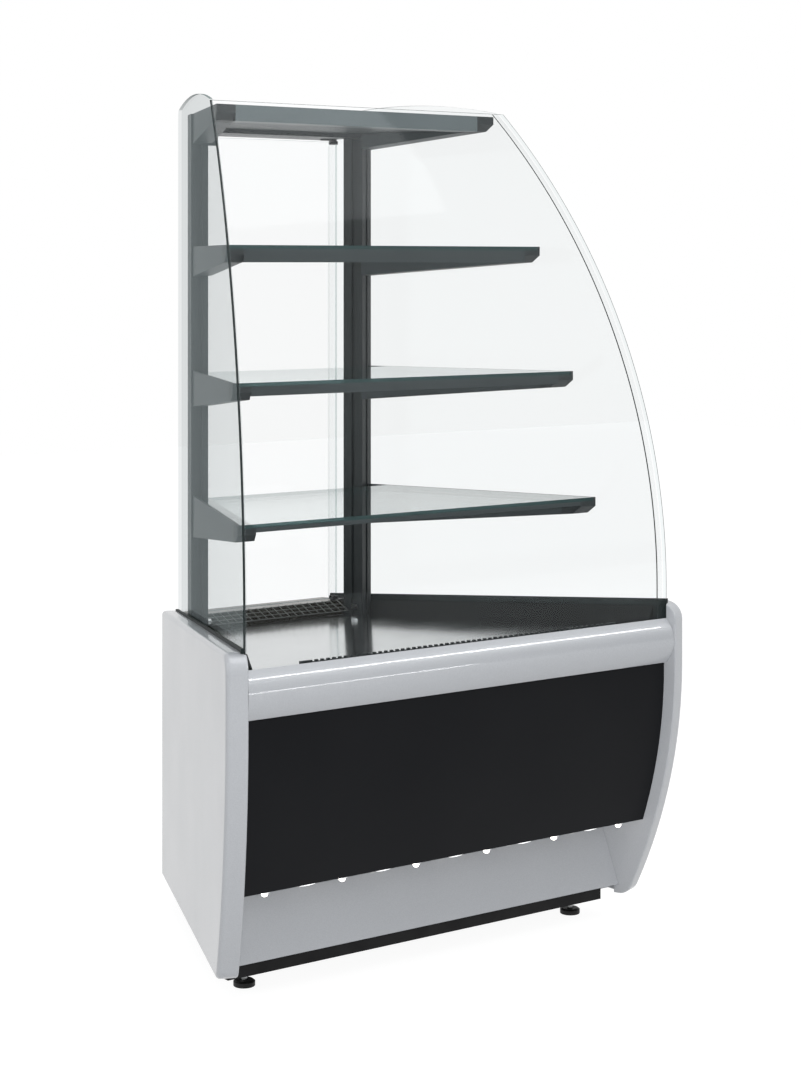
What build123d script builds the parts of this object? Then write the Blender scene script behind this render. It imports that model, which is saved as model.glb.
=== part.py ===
from build123d import *
from math import cos, radians, sin, sqrt, tan
import os

os.makedirs("parts", exist_ok=True)

# A free-standing display case, wedge-shaped in plan: narrow at the back, wide at the front.
# Millimetres, +Z up, the front faces -Y, the origin is on the floor under the middle.
# "Reach" is measured forward along a side from the front face of the rear posts.
# "Out" is measured square to a side, outward from the outer face of its glass.
# "Ahead" is measured straight forward (-Y) from the post line.

# Plan of the glass case
side_angle = 22.5
back_half_width = 202.0
glass_ahead = 550.0
side_glass_back = 97.0

# Glass
pane = 6.0
shelf_pane = 6.0
door_pane = 6.0
glass_bottom = 490.0
bend_height = 580.0
bend_radius = 1298.0
front_glass_top = 1405.0
side_glass_rear_top = 1411.0
side_glass_crown = 1427.0
side_glass_corner = 12.0
seal = 2.0

# Clearances
fit_gap = 0.5
glass_gap = 0.5
run_gap = 0.1
deck_side_gap = 2.5

# Base side panels
panel_inner_out = -4.0
panel_thick = 34.0
panel_reach = 614.0
panel_back = 97.0
panel_bottom = 40.0
panel_rear_top = 514.5
panel_front_top = 555.3
panel_bend_height = 450.0
panel_bend_radius = 955.0
panel_top_corner = 30.0
panel_toe_corner = 25.0
panel_round = 8.0
panel_inner_round = 2.5

# Plinth frame and floor
tube_width = 30.0
tube_height = 26.0
tube_wall = 2.0
plinth_bottom = 34.0
front_tube_ahead = 460.0
front_tube_left = 402.0
front_tube_right = 358.0
side_tube_out = -15.0
side_tube_back = 82.0
sheet = 2.0

# Levelling feet
pad_radius = 17.3
pad_height = 10.0
stem_radius = 5.0
stem_top = 54.0
socket_depth = 4.0
nut_width = 17.0
nut_height = 7.0
front_foot_reach = 424.0
rear_foot_reach = -50.0

# Front of the base
bumper_radius = 60.0
bumper_nose_height = 489.0
bumper_top = 527.0
bumper_bottom = 450.0
bumper_wall = 3.0
channel_wall = 2.0
front_panel_ahead = 549.0
front_panel_radius = 970.0
front_panel_bend_height = 440.0
front_panel_bottom = 175.0
front_panel_wall = 3.0
kick_bottom = 56.0
kick_bottom_ahead = 469.0
kick_top_ahead = 434.0
spot_count = 6
spot_pitch = 144.7
spot_radius = 7.0
spot_lens_radius = 5.0
spot_body = 16.0
spot_setback = 11.0
lens_drop = 7.0
lens_round = 4.0

# Deck
deck_front_height = 517.0
deck_slope = 2.7
strip_half_length = 322.0
strip_thick = 4.0
strip_top = 528.2
slot_pitch = 11.0
slot_width = 6.0
slot_depth = 2.6
slot_count = 55
riser_rear_top = 513.0
riser_front_top = 547.0
riser_bottom = 480.0
riser_width = 16.0
riser_lean = 20.0
riser_front_ahead = 533.0
post_notch = 48.0

# Rear of the deck
grille_half_width = 147.0
grille_rear_ahead = -38.0
grille_front_height = 499.0
grille_tilt = 21.0
grille_thick = 2.5
mesh_pitch = 16.0
mesh_opening = 13.6
mesh_columns = 18
mesh_rows = 2
sill_top = 510.0
sill_rear_ahead = -96.0
sill_flange = 26.0
rear_panel_ahead = -84.0

# Posts, whose tops are level with the canopy's
post_depth = 41.0
post_width = 30.0
post_out = -9.0
post_groove = 6.0
post_groove_depth = 4.0
cleat_size = 14.0
cleat_height = 9.0

# Canopy
canopy_top = 1400.0
canopy_ahead = 246.0
canopy_arm_width = 34.0
canopy_arm_root = 53.0
canopy_arm_tip = 26.0
canopy_beam_height = 27.0
canopy_beam_depth = 40.0
canopy_skin = 3.0
back_rail_height = 32.0
ceiling_rise = 8.0
back_rail_rear_ahead = -82.0
arm_out = -12.0
arm_cap = 34.0
arm_nose_back = 14.0
arm_nose_drop = 12.5

# Shelves, from the top one down: distance ahead of the posts, depth of the arm at the post,
# and height of the rail under the front edge of the glass
top_shelf = 1167.0
shelf_pitch = 219.0
shelf_names = ("top", "middle", "lower")
shelf_ahead = (332.6, 393.5, 434.2)
shelf_arm_root = (52.7, 62.2, 72.7)
shelf_rail_height = (22.0, 15.5, 7.0)
shelf_arm_width = 32.0
shelf_arm_tip = 28.0
shelf_lip = 5.0
shelf_rear_ahead = 45.0
shelf_rail_depth = 12.0

# Rear door
door_half_width = 150.0
door_ahead = -44.0
door_foot_gap = 5.0
door_head_gap = 5.0
hinge_offset = 4.0
pivot_plate = 2.5
pivot_length = 34.0
pivot_outboard = 22.0
pivot_depth = 16.0
pin_radius = 4.0
patch_width = 12.0
patch_height = 6.5
patch_wall = 3.0
patch_gap = 0.5
handle_height = 940.0
handle_length = 180.0
handle_radius = 6.0
handle_standoff = 26.0
handle_inset = 15.0
catch_width = 24.0
catch_height = 20.0
catch_depth = 7.0

# Electrics on the rear panel
inlet_width = 50.0
inlet_height = 30.0
inlet_depth = 24.0
inlet_cavity_width = 24.0
inlet_cavity_height = 16.0
inlet_cavity_depth = 16.0
inlet_pin_pitch = 7.0
inlet_pin_width = 2.0
inlet_pin_height = 4.0
inlet_x = 70.0
electrics_height = 150.0
flange_lip = 4.0
flange_thick = 2.0
switch_x = 10.0
switch_width = 22.0
switch_height = 30.0
switch_wall = 2.0
switch_depth = 18.0
rocker_radius = 9.5
rocker_proud = 3.5
rocker_tilt = 8.0
rocker_gap = 1.0
rocker_shoulder = 1.0
driver_length = 180.0
driver_width = 60.0
driver_height = 35.0
driver_x = -60.0
driver_ahead = -20.0

lean = radians(side_angle)
reach_span = 800.0
half_span = 600.0

# The case is centred on its overall depth, so the post line's place follows from its two ends.
nose_centre_reach = panel_reach - panel_inner_round
nose_centre_out = panel_inner_out + panel_inner_round
front_extent = nose_centre_reach * cos(lean) - nose_centre_out * sin(lean) + panel_inner_round
tail_centre_reach = panel_back - panel_round
tail_centre_out = panel_inner_out + panel_thick - panel_round
rear_extent = tail_centre_reach * cos(lean) + tail_centre_out * sin(lean) + panel_round
line_y = (front_extent - rear_extent) / 2


def ahead(distance):
    """Y of a plane at a distance in front of the post line."""
    return line_y - distance


def along(reach, out):
    """X and Y of a point on the right-hand side."""
    x = back_half_width + reach * sin(lean) + out * cos(lean)
    y = line_y - reach * cos(lean) + out * sin(lean)
    return x, y


def side_plane(out):
    """Plane parallel to the right side: local x is the reach, local y the height, z inward."""
    x, y = along(0, out)
    return Plane(origin=(x, y, 0), x_dir=(sin(lean), -cos(lean), 0), z_dir=(-cos(lean), -sin(lean), 0))


def cross_plane(reach):
    """Plane square to the right side, facing forward."""
    x, y = along(reach, 0)
    return Plane(origin=(x, y, 0), x_dir=(cos(lean), sin(lean), 0), z_dir=(sin(lean), -cos(lean), 0))


def glass_face(depth, height):
    """Y of the bent front pane at a height, at a depth behind its outer face."""
    rise = max(height - bend_height, 0)
    return ahead(glass_ahead) + bend_radius - sqrt((bend_radius - depth) ** 2 - rise**2)


def panel_face(depth, height):
    """Y of the curved front panel at a height, at a depth behind its outer face."""
    drop = max(front_panel_bend_height - height, 0)
    return ahead(front_panel_ahead) + front_panel_radius - sqrt((front_panel_radius - depth) ** 2 - drop**2)


def deck_height(distance):
    """Top of the deck at a distance ahead of the post line."""
    return deck_front_height + (distance - glass_ahead) * tan(radians(deck_slope))


def trim_and_mirror(out):
    """Cut the right half of the current part at a side plane, then add the left half."""
    split(bisect_by=side_plane(out), keep=Keep.TOP)
    mirror(about=Plane.YZ)


def mirrored(piece):
    """The left-hand counterpart of a right-hand piece."""
    with BuildPart() as other:
        mirror(piece.part, about=Plane.YZ)
    return other


def save(piece, name):
    piece.part.label = name
    export_step(piece.part, f"parts/{name}.step")


def save_pair(piece, name):
    save(piece, f"{name}_right")
    save(mirrored(piece), f"{name}_left")


# Side glass: flat, with an arched top edge; the bent front pane covers its front edge
with BuildPart() as side_glass:
    with BuildSketch(side_plane(0)):
        with BuildLine():
            crown_front = canopy_ahead / cos(lean) + pane
            crown_middle = (crown_front - side_glass_back) / 2
            Polyline(
                (crown_front, front_glass_top),
                (reach_span, front_glass_top),
                (reach_span, glass_bottom),
                (-side_glass_back, glass_bottom),
                (-side_glass_back, side_glass_rear_top),
            )
            ThreePointArc(
                (-side_glass_back, side_glass_rear_top),
                (crown_middle, side_glass_crown),
                (crown_front, front_glass_top),
            )
        make_face()
        rear_corner = vertices().group_by(Axis.X)[0].sort_by(Axis.Y)[-1]
        fillet(rear_corner, radius=side_glass_corner)
    extrude(amount=pane)
    with BuildSketch(Plane.YZ):
        with BuildLine():
            inner_face = pane + seal
            start = (glass_face(inner_face, bend_height), bend_height)
            middle = (glass_face(inner_face, (bend_height + canopy_top) / 2), (bend_height + canopy_top) / 2)
            end = (glass_face(inner_face, side_glass_crown), side_glass_crown)
            Polyline(
                end,
                (ahead(-half_span), side_glass_crown),
                (ahead(-half_span), glass_bottom),
                (start[0], glass_bottom),
                start,
            )
            ThreePointArc(start, middle, end)
        make_face()
    extrude(amount=half_span, mode=Mode.INTERSECT)
save_pair(side_glass, "side_glass")


def bent_strip(near, far, top):
    """Y-Z outline of the bent front pane between two depths behind its outer face."""
    halfway = (bend_height + top) / 2
    with BuildSketch(Plane.YZ) as strip:
        with BuildLine():
            Line((glass_face(near, glass_bottom), glass_bottom), (glass_face(near, bend_height), bend_height))
            ThreePointArc(
                (glass_face(near, bend_height), bend_height),
                (glass_face(near, halfway), halfway),
                (glass_face(near, top), top),
            )
            Line((glass_face(near, top), top), (glass_face(far, top), top))
            ThreePointArc(
                (glass_face(far, top), top),
                (glass_face(far, halfway), halfway),
                (glass_face(far, bend_height), bend_height),
            )
            Polyline(
                (glass_face(far, bend_height), bend_height),
                (glass_face(far, glass_bottom), glass_bottom),
                (glass_face(near, glass_bottom), glass_bottom),
            )
        make_face()
    return strip.sketch


# Bent front glass: its polished ends lie in the outer faces of the side glasses
with BuildPart() as front_glass:
    extrude(bent_strip(0, pane, front_glass_top), amount=half_span)
    trim_and_mirror(0)
save(front_glass, "front_glass")

# Joint seals between the front pane and the side panes
with BuildPart() as corner_seals:
    extrude(bent_strip(pane, pane + seal, front_glass_top), amount=half_span)
    split(bisect_by=side_plane(0), keep=Keep.TOP)
    split(bisect_by=side_plane(-pane), keep=Keep.BOTTOM)
    mirror(about=Plane.YZ)
save(corner_seals, "corner_seals")

# Base side panel: a thick board with rounded edges and a front that curves in toward the floor
panel_bend_reach = panel_reach - panel_bend_radius
toe_reach = panel_bend_reach + sqrt(panel_bend_radius**2 - (panel_bend_height - panel_bottom) ** 2)
shin_height = (panel_bend_height + panel_bottom) / 2
shin_reach = panel_bend_reach + sqrt(panel_bend_radius**2 - (panel_bend_height - shin_height) ** 2)
tube_notch_height = plinth_bottom + tube_height + fit_gap
with BuildPart() as side_panel:
    with BuildSketch(side_plane(panel_inner_out + panel_thick)):
        with BuildLine():
            Polyline(
                (toe_reach, panel_bottom),
                (-panel_back, panel_bottom),
                (-panel_back, panel_rear_top),
                (panel_reach, panel_front_top),
                (panel_reach, panel_bend_height),
            )
            ThreePointArc(
                (panel_reach, panel_bend_height), (shin_reach, shin_height), (toe_reach, panel_bottom)
            )
        make_face()
        fillet(vertices().group_by(Axis.Y)[-1], radius=panel_top_corner)
        toe = vertices().group_by(Axis.Y)[0].sort_by(Axis.X)[-1]
        fillet(toe, radius=panel_toe_corner)
    extrude(amount=panel_thick)
    faces_by_out = faces().sort_by(Axis((0, 0, 0), (cos(lean), sin(lean), 0)))
    fillet(faces_by_out[-1].edges(), radius=panel_round)
    faces_by_out = faces().sort_by(Axis((0, 0, 0), (cos(lean), sin(lean), 0)))
    fillet(faces_by_out[0].edges(), radius=panel_inner_round)
    # Rebate that takes the lower edge of the side glass and the end of the front glass
    with BuildSketch(side_plane(glass_gap)):
        rebate_end = (glass_ahead + glass_gap) / cos(lean) + glass_gap
        with BuildLine():
            Polyline(
                (-reach_span, glass_bottom),
                (rebate_end, glass_bottom),
                (rebate_end, front_glass_top),
                (-reach_span, front_glass_top),
                close=True,
            )
        make_face()
    extrude(amount=panel_thick, mode=Mode.SUBTRACT)
    # Notch over the end of the front plinth tube
    notch_x = front_tube_left + fit_gap
    notch_y = ahead(front_tube_ahead + fit_gap)
    with BuildSketch(Plane.XY.offset(panel_bottom)):
        with Locations((notch_x, notch_y)):
            Rectangle(half_span, tube_width + 2 * fit_gap, align=(Align.MAX, Align.MIN))
    extrude(amount=tube_notch_height - panel_bottom, mode=Mode.SUBTRACT)
save_pair(side_panel, "side_panel")

# Plinth frame of square tube: two side tubes along the sides, one across the front and the back
tube_top = plinth_bottom + tube_height
tube_middle = plinth_bottom + tube_height / 2
front_tube_rear_y = ahead(front_tube_ahead - tube_width)


def bore_for_stem(reach):
    """Hole for a levelling stem through the lower wall of the side tube."""
    foot_x, foot_y = along(reach, side_tube_out - tube_width / 2)
    with BuildSketch(Plane.XY.offset(plinth_bottom)) as hole:
        with Locations((foot_x, foot_y)):
            Circle(stem_radius + 3 * run_gap)
    extrude(hole.sketch, amount=tube_wall, mode=Mode.SUBTRACT)


with BuildPart() as side_tube:
    with BuildSketch(side_plane(side_tube_out)):
        with Locations((-side_tube_back, tube_middle)):
            Rectangle(reach_span, tube_height, align=(Align.MIN, Align.CENTER))
    extrude(amount=tube_width)
    with BuildSketch(side_plane(side_tube_out - tube_wall)):
        with Locations((-side_tube_back, tube_middle)):
            Rectangle(reach_span, tube_height - 2 * tube_wall, align=(Align.MIN, Align.CENTER))
    extrude(amount=tube_width - 2 * tube_wall, mode=Mode.SUBTRACT)
    split(bisect_by=Plane.XZ.offset(-front_tube_rear_y), keep=Keep.BOTTOM)
    for foot_reach in (front_foot_reach, rear_foot_reach):
        bore_for_stem(foot_reach)
save_pair(side_tube, "plinth_tube")

with BuildPart() as front_tube:
    with BuildSketch(Plane.YZ):
        with Locations((ahead(front_tube_ahead), tube_middle)):
            Rectangle(tube_width, tube_height, align=(Align.MIN, Align.CENTER))
        with Locations((ahead(front_tube_ahead - tube_wall), tube_middle)):
            Rectangle(
                tube_width - 2 * tube_wall,
                tube_height - 2 * tube_wall,
                align=(Align.MIN, Align.CENTER),
                mode=Mode.SUBTRACT,
            )
    extrude(amount=front_tube_right)
    extrude(faces().sort_by(Axis.X)[0], amount=front_tube_left)
save(front_tube, "plinth_tube_front")

rear_tube_y = along(-side_tube_back, side_tube_out - tube_width)[1]
with BuildPart() as rear_tube:
    with BuildSketch(Plane.YZ):
        with Locations((rear_tube_y, tube_middle)):
            Rectangle(tube_width, tube_height, align=(Align.MAX, Align.CENTER))
        with Locations((rear_tube_y - tube_wall, tube_middle)):
            Rectangle(
                tube_width - 2 * tube_wall,
                tube_height - 2 * tube_wall,
                align=(Align.MAX, Align.CENTER),
                mode=Mode.SUBTRACT,
            )
    extrude(amount=half_span)
    trim_and_mirror(side_tube_out - tube_width)
save(rear_tube, "plinth_tube_rear")

# Levelling feet: a round pad, a threaded stem turning in it, and a nut under the tube
foot_places = []
for end, foot_reach in (("front", front_foot_reach), ("rear", rear_foot_reach)):
    foot_x, foot_y = along(foot_reach, side_tube_out - tube_width / 2)
    foot_places.append((f"{end}_right", foot_x, foot_y))
    foot_places.append((f"{end}_left", -foot_x, foot_y))

for place, foot_x, foot_y in foot_places:
    with BuildPart(Plane.XY.offset(0)) as foot_pad:
        with BuildSketch():
            with Locations((foot_x, foot_y)):
                Circle(pad_radius)
        extrude(amount=pad_height)
        chamfer(edges().group_by(Axis.Z)[-1], length=pad_height / 4, length2=pad_height / 3)
        fillet(edges().group_by(Axis.Z)[0], radius=pad_height / 8)
        with BuildSketch(Plane.XY.offset(pad_height - socket_depth)):
            with Locations((foot_x, foot_y)):
                Circle(stem_radius + run_gap)
        extrude(amount=socket_depth, mode=Mode.SUBTRACT)
    save(foot_pad, f"foot_pad_{place}")

    with BuildPart() as foot_stem:
        with BuildSketch(Plane.XY.offset(pad_height - socket_depth)):
            with Locations((foot_x, foot_y)):
                Circle(stem_radius)
        extrude(amount=stem_top - pad_height + socket_depth)
        chamfer(edges().group_by(Axis.Z)[-1], length=stem_radius / 5)
    save(foot_stem, f"foot_stem_{place}")

with BuildPart() as foot_nuts:
    with BuildSketch(Plane.XY.offset(plinth_bottom - nut_height)):
        with Locations([(x, y) for place, x, y in foot_places]):
            RegularPolygon(nut_width / 2, 6, major_radius=False)
            Circle(stem_radius + run_gap, mode=Mode.SUBTRACT)
    extrude(amount=nut_height)
save(foot_nuts, "foot_lock_nuts")

# Base floor, rear service panel and rear sill
panel_gap_out = panel_inner_out - fit_gap
glass_gap_out = -pane - deck_side_gap
floor_top = tube_top + sheet
with BuildPart() as base_floor:
    with BuildSketch(Plane.XY.offset(tube_top)):
        with Locations((0, ahead(front_tube_ahead))):
            Rectangle(
                half_span, front_tube_ahead - rear_panel_ahead, align=(Align.MIN, Align.MIN)
            )
    extrude(amount=sheet)
    trim_and_mirror(panel_gap_out)
save(base_floor, "base_floor")

electrics = ((inlet_x, inlet_width, inlet_height), (switch_x, switch_width, switch_height))
with BuildPart() as rear_panel:
    with BuildSketch(Plane.YZ):
        with Locations((ahead(rear_panel_ahead), tube_top)):
            Rectangle(sheet, sill_top - sheet - tube_top, align=(Align.MIN, Align.MIN))
    extrude(amount=half_span)
    trim_and_mirror(glass_gap_out)
    for hole_x, hole_width, hole_height in electrics:
        with BuildSketch(Plane.XZ.offset(-ahead(rear_panel_ahead) - sheet)):
            with Locations((hole_x, electrics_height)):
                Rectangle(hole_width + 2 * run_gap, hole_height + 2 * run_gap)
        extrude(amount=sheet, mode=Mode.SUBTRACT)
save(rear_panel, "rear_panel")

with BuildPart() as rear_sill:
    with BuildSketch(Plane.YZ):
        with Locations((ahead(grille_rear_ahead - fit_gap), sill_top)):
            Rectangle(grille_rear_ahead - fit_gap - sill_rear_ahead, sheet, align=(Align.MIN, Align.MAX))
            Rectangle(sheet, sill_flange, align=(Align.MIN, Align.MAX))
    extrude(amount=half_span)
    trim_and_mirror(glass_gap_out)
save(rear_sill, "rear_sill")

# Deck: one plate that rises toward the front, notched round the posts
deck_front_ahead = glass_ahead - pane - 2 * glass_gap - channel_wall
with BuildPart() as deck_plate:
    with BuildSketch(Plane.YZ):
        with BuildLine():
            Polyline(
                (ahead(deck_front_ahead), deck_height(deck_front_ahead)),
                (ahead(0), deck_height(0)),
                (ahead(0), deck_height(0) - sheet),
                (ahead(deck_front_ahead), deck_height(deck_front_ahead) - sheet),
                close=True,
            )
        make_face()
    extrude(amount=half_span)
    split(bisect_by=side_plane(glass_gap_out), keep=Keep.TOP)
    with BuildSketch(side_plane(0)):
        with Locations((fit_gap, 0)):
            Rectangle(post_depth + side_glass_back, 2 * canopy_top, align=(Align.MAX, Align.CENTER))
    extrude(amount=post_notch, mode=Mode.SUBTRACT)
    mirror(about=Plane.YZ)
save(deck_plate, "deck_plate")

# Slotted strip on the deck just behind the front glass
with BuildPart() as slot_strip:
    with BuildSketch(Plane.YZ):
        with BuildLine():
            strip_rear_ahead = deck_front_ahead - strip_thick
            Polyline(
                (ahead(deck_front_ahead), deck_height(deck_front_ahead)),
                (ahead(strip_rear_ahead), deck_height(strip_rear_ahead)),
                (ahead(strip_rear_ahead), strip_top),
                (ahead(deck_front_ahead), strip_top),
                close=True,
            )
        make_face()
    extrude(amount=strip_half_length, both=True)
    with BuildSketch(Plane.XY.offset(strip_top - slot_depth)):
        with Locations((0, ahead(deck_front_ahead - strip_thick / 2))):
            with GridLocations(slot_pitch, 1, slot_count, 1):
                Rectangle(slot_width, 2 * strip_thick)
    extrude(amount=slot_depth, mode=Mode.SUBTRACT)
save(slot_strip, "deck_slot_strip")

# Channel that holds the lower edge of the front glass, behind the bumper
channel_depth = pane + 2 * glass_gap + 2 * channel_wall
channel_front_ahead = glass_ahead + glass_gap + channel_wall
channel_top = bumper_top - 2 * bumper_wall
channel_bottom = bumper_bottom + channel_wall
with BuildPart() as glass_channel:
    with BuildSketch(Plane.YZ):
        with Locations((ahead(channel_front_ahead), channel_bottom)):
            Rectangle(channel_depth, channel_top - channel_bottom, align=(Align.MIN, Align.MIN))
        with Locations((ahead(channel_front_ahead - channel_wall), glass_bottom)):
            Rectangle(
                channel_depth - 2 * channel_wall,
                channel_top - glass_bottom,
                align=(Align.MIN, Align.MIN),
                mode=Mode.SUBTRACT,
            )
        with Locations((ahead(channel_front_ahead - channel_wall), channel_bottom + channel_wall)):
            Rectangle(
                channel_depth - 2 * channel_wall,
                glass_bottom - channel_bottom - 2 * channel_wall,
                align=(Align.MIN, Align.MIN),
                mode=Mode.SUBTRACT,
            )
    extrude(amount=half_span)
    trim_and_mirror(glass_gap_out)
save(glass_channel, "glass_channel")

# Bumper: a hollow bullnose across the front
bumper_back_ahead = channel_front_ahead + fit_gap
bumper_centre_ahead = bumper_back_ahead - sqrt(bumper_radius**2 - (bumper_top - bumper_nose_height) ** 2)
with BuildPart() as bumper:
    with BuildSketch(Plane.YZ):
        with Locations((ahead(bumper_centre_ahead), bumper_nose_height)):
            Circle(bumper_radius)
            Circle(bumper_radius - bumper_wall, mode=Mode.SUBTRACT)
        with Locations((ahead(bumper_back_ahead), bumper_bottom)):
            Rectangle(
                bumper_radius,
                bumper_top - bumper_bottom,
                align=(Align.MAX, Align.MIN),
                mode=Mode.INTERSECT,
            )
    extrude(amount=half_span)
    trim_and_mirror(panel_gap_out)
save(bumper, "bumper")

# Curved front panel with a return along its lower edge, where the spots sit
panel_top = bumper_bottom - fit_gap
kick_top = front_panel_bottom - fit_gap
panel_halfway = (panel_top + front_panel_bottom) / 2
return_top = front_panel_bottom + front_panel_wall
return_rear = ahead(kick_top_ahead) - sheet
spot_y = panel_face(0, front_panel_bottom) + spot_setback
spot_places = [((place - (spot_count - 1) / 2) * spot_pitch, spot_y) for place in range(spot_count)]
with BuildPart() as front_panel:
    with BuildSketch(Plane.YZ):
        with BuildLine():
            ThreePointArc(
                (panel_face(0, panel_top), panel_top),
                (panel_face(0, panel_halfway), panel_halfway),
                (panel_face(0, front_panel_bottom), front_panel_bottom),
            )
            Polyline(
                (panel_face(0, front_panel_bottom), front_panel_bottom),
                (return_rear, front_panel_bottom),
                (return_rear, return_top),
                (panel_face(front_panel_wall, return_top), return_top),
            )
            ThreePointArc(
                (panel_face(front_panel_wall, return_top), return_top),
                (panel_face(front_panel_wall, panel_halfway), panel_halfway),
                (panel_face(front_panel_wall, panel_top), panel_top),
            )
            Line(
                (panel_face(front_panel_wall, panel_top), panel_top),
                (panel_face(0, panel_top), panel_top),
            )
        make_face()
    extrude(amount=half_span)
    trim_and_mirror(panel_gap_out)
    with BuildSketch(Plane.XY.offset(front_panel_bottom)):
        with Locations(spot_places):
            Circle(spot_radius + run_gap)
    extrude(amount=front_panel_wall, mode=Mode.SUBTRACT)
save(front_panel, "front_panel")

# Spots: a flanged housing in the return, with a domed lens that hangs from its mouth
with BuildPart() as spot_housings:
    with BuildSketch(Plane.XY.offset(front_panel_bottom - flange_thick)):
        with Locations(spot_places):
            Circle(spot_radius + flange_thick)
    extrude(amount=flange_thick)
    with BuildSketch(Plane.XY.offset(front_panel_bottom)):
        with Locations(spot_places):
            Circle(spot_radius)
    extrude(amount=spot_body)
    with BuildSketch(Plane.XY.offset(front_panel_bottom - flange_thick)):
        with Locations(spot_places):
            Circle(spot_lens_radius + run_gap)
    extrude(amount=flange_thick + front_panel_wall, mode=Mode.SUBTRACT)
save(spot_housings, "spot_housings")

with BuildPart() as spot_lenses:
    with BuildSketch(Plane.XY.offset(front_panel_bottom - flange_thick - lens_drop)):
        with Locations(spot_places):
            Circle(spot_lens_radius)
    extrude(amount=lens_drop + flange_thick + front_panel_wall)
    fillet(edges().group_by(Axis.Z)[0], radius=lens_round)
save(spot_lenses, "spot_lenses")

# Kick plate: a sheet whose foot stands forward of its head, with a return onto the front tube
kick_run = (kick_bottom_ahead - kick_top_ahead) / (kick_top - kick_bottom)
with BuildPart() as kick_plate:
    with BuildSketch(Plane.YZ):
        with BuildLine():
            Polyline(
                (ahead(kick_bottom_ahead), kick_bottom),
                (ahead(front_tube_ahead), kick_bottom),
                (ahead(front_tube_ahead), kick_bottom + sheet),
                (ahead(kick_bottom_ahead - sheet * (1 + kick_run)), kick_bottom + sheet),
                (ahead(kick_top_ahead - sheet), kick_top),
                (ahead(kick_top_ahead), kick_top),
                close=True,
            )
        make_face()
    extrude(amount=half_span)
    trim_and_mirror(panel_gap_out)
save(kick_plate, "kick_plate")

# Risers: dark rails along both sides of the deck, leaning outward at the top
riser_slope = (riser_front_top - riser_rear_top) / (riser_front_ahead / cos(lean))
riser_front_end = riser_rear_top + riser_slope * reach_span
crest_x, crest_y = along(0, glass_gap_out - fit_gap)
lean_up = radians(riser_lean)
crest_run = Vector(sin(lean), -cos(lean), riser_slope).normalized()
upright_normal = Vector(-cos(lean) * cos(lean_up), -sin(lean) * cos(lean_up), sin(lean_up))
riser_normal = upright_normal - crest_run * upright_normal.dot(crest_run)
riser_face = Plane(origin=(crest_x, crest_y, riser_rear_top), x_dir=crest_run, z_dir=riser_normal)
deck_normal = (0, sin(radians(deck_slope)), cos(radians(deck_slope)))
deck_plane = Plane(origin=(0, ahead(0), deck_height(0)), x_dir=(1, 0, 0), z_dir=deck_normal)
with BuildPart() as riser:
    with BuildSketch(side_plane(glass_gap_out)):
        with BuildLine():
            Polyline(
                (fit_gap, riser_bottom),
                (fit_gap, riser_rear_top),
                (reach_span, riser_front_end),
                (reach_span, riser_bottom),
                close=True,
            )
        make_face()
    extrude(amount=riser_width)
    split(bisect_by=riser_face, keep=Keep.BOTTOM)
    split(bisect_by=deck_plane, keep=Keep.TOP)
    split(bisect_by=Plane.XZ.offset(-ahead(riser_front_ahead)), keep=Keep.BOTTOM)
save_pair(riser, "riser")

# Rear grille: a sloping panel of square mesh between the posts
grille_length = -grille_rear_ahead / cos(radians(grille_tilt))
grille_plane = Plane(
    origin=(0, ahead(0) + fit_gap, grille_front_height),
    x_dir=(1, 0, 0),
    z_dir=(0, -sin(radians(grille_tilt)), cos(radians(grille_tilt))),
)
with BuildPart() as rear_grille:
    with BuildSketch(grille_plane):
        Rectangle(2 * grille_half_width, grille_length - 2 * fit_gap, align=(Align.CENTER, Align.MIN))
        with Locations((0, grille_length / 2 - fit_gap)):
            with GridLocations(mesh_pitch, mesh_pitch, mesh_columns, mesh_rows):
                Rectangle(mesh_opening, mesh_opening, mode=Mode.SUBTRACT)
    extrude(amount=-grille_thick)
save(rear_grille, "rear_grille")

# Posts: grooved extrusions from the base floor to the top of the canopy
with BuildPart() as post:
    with BuildSketch(side_plane(post_out)):
        with Locations((0, floor_top)):
            Rectangle(post_depth, canopy_top - floor_top, align=(Align.MAX, Align.MIN))
    extrude(amount=post_width)
    with BuildSketch(side_plane(post_out - post_width + post_groove_depth)):
        with Locations((-post_depth / 2, floor_top)):
            Rectangle(post_groove, canopy_top - floor_top, align=(Align.CENTER, Align.MIN))
    extrude(amount=post_groove_depth, mode=Mode.SUBTRACT)
    with BuildSketch(side_plane(post_out - post_width / 2 + post_groove / 2)):
        with Locations((0, floor_top)):
            Rectangle(post_groove_depth, canopy_top - floor_top, align=(Align.MAX, Align.MIN))
    extrude(amount=post_groove, mode=Mode.SUBTRACT)
save_pair(post, "post")

# Bright cleats that tie the posts to the grille's edge
with BuildPart() as post_cleats:
    with BuildSketch(side_plane(post_out - post_width)):
        with Locations((-post_depth / 3, deck_height(0) + cleat_size)):
            Rectangle(cleat_size, cleat_height)
    extrude(amount=cleat_size / 2)
    fillet(edges().filter_by(Axis((0, 0, 0), (cos(lean), sin(lean), 0))), radius=cleat_height / 4)
    mirror(about=Plane.YZ)
save(post_cleats, "post_cleats")


def arm_outline(front_ahead, top, root, tip):
    """Y-Z outline of an arm: deep at the post, shallow at the tip, with an undercut nose."""
    with BuildSketch(Plane.YZ) as outline:
        with BuildLine():
            Polyline(
                (ahead(-half_span), top),
                (ahead(front_ahead), top),
                (ahead(front_ahead), top - tip + arm_nose_drop),
                (ahead(front_ahead - arm_nose_back), top - tip),
                (ahead(0), top - root),
                (ahead(-half_span), top - root),
                close=True,
            )
        make_face()
    return outline.sketch


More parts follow.
